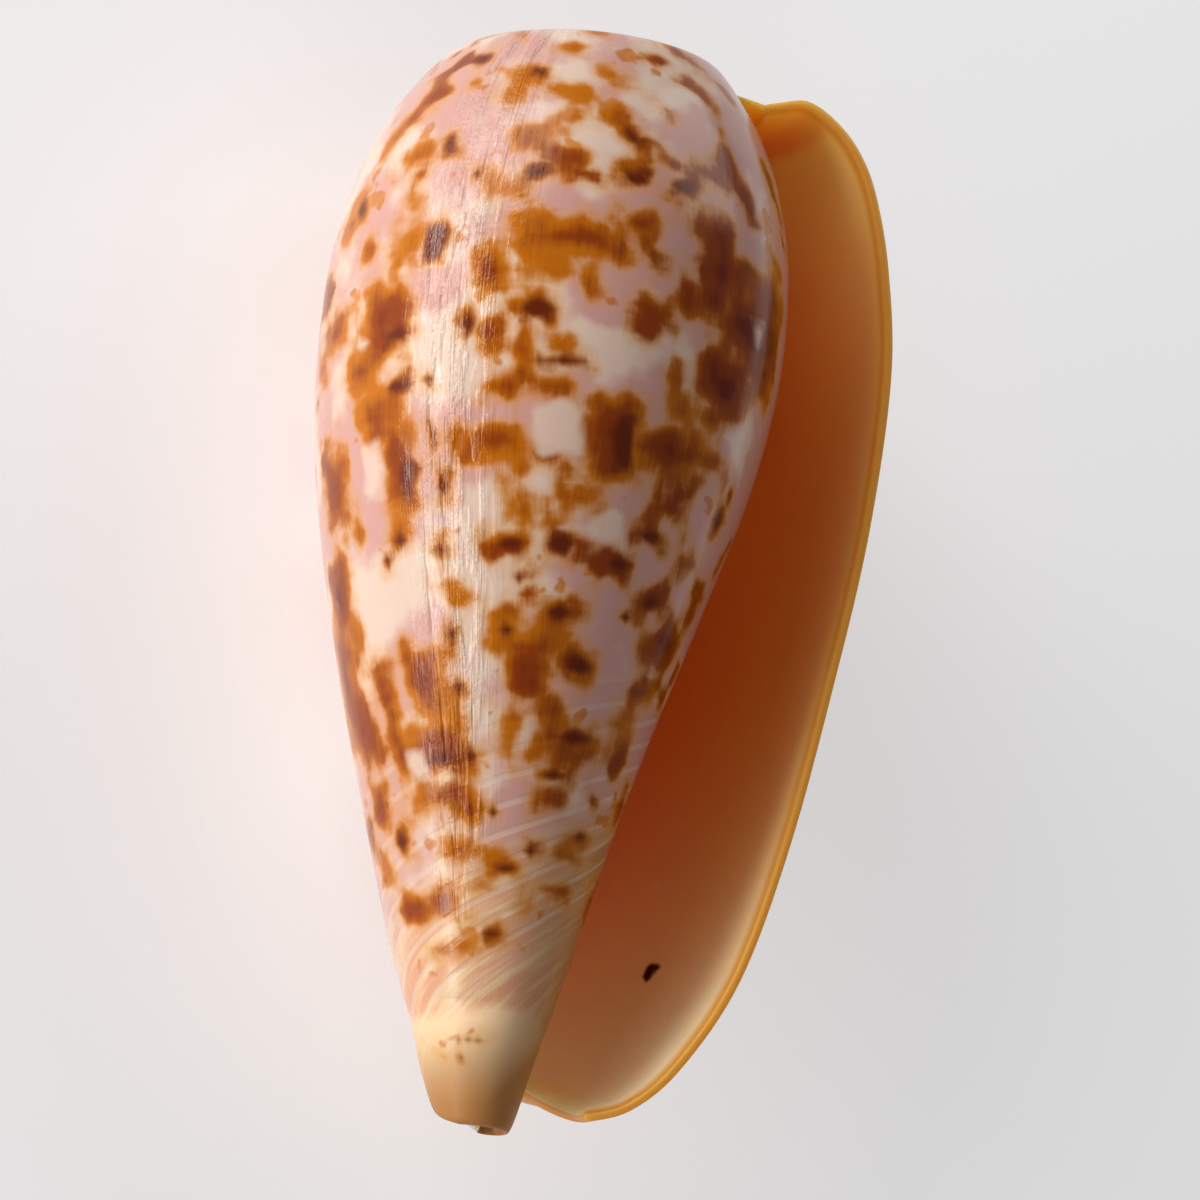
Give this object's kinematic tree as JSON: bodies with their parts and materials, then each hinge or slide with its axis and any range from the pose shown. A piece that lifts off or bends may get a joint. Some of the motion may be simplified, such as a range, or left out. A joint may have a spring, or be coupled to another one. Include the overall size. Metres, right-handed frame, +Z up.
{
  "type": "cone shell",
  "caption": "Glossy inflated cone shell with orange-brown blotches on white and pink, lying on its back with its long orange aperture up.",
  "frame": {"origin": "centre of the bounding box at its lowest point, where the lying shell meets the surface", "axes": "+Z up; +Y along the shell's long axis towards the spire, -Y towards the narrow base; the aperture opens up and towards -X, and the outer lip stands on the +X side"},
  "size_m": [0.0316, 0.064, 0.0285],
  "materials": {
    "shell": "glossy natural shell, white to pink with orange-brown angular blotches outside, smooth orange inside the aperture"
  },
  "bodies": {
    "root": {"shell": "shell"}
  },
  "joints": []
}
